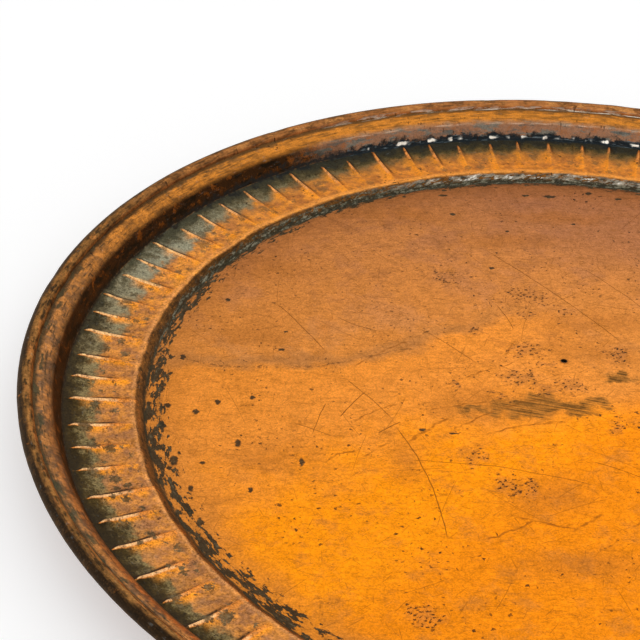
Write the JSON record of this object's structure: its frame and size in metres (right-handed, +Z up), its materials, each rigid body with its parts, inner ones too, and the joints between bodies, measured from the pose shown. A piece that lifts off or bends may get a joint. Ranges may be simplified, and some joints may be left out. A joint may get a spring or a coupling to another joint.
{
  "type": "copper tray",
  "caption": "Large round hand-raised copper serving tray with a flat floor, a fluted sloping border, a steep outer wall and an edge rolled round a stiffening wire.",
  "frame": {"origin": "middle of the floor's underside, the face that the tray rests on", "axes": "+Z up out of the tray along its axis, +X and +Y across it; the tray is round, so X and Y are free choices"},
  "size_m": [0.6994, 0.6993, 0.0368],
  "materials": {
    "worn_copper": "hand-raised copper, rubbed bright and orange where it is worn, with dark patina and remains of grey tinning in the recesses",
    "iron_wire": "bare drawn iron wire, dark with scale, hidden inside the rolled edge"
  },
  "bodies": {
    "root": {"tray_sheet": "worn_copper", "rim_wire": "iron_wire"}
  },
  "joints": []
}
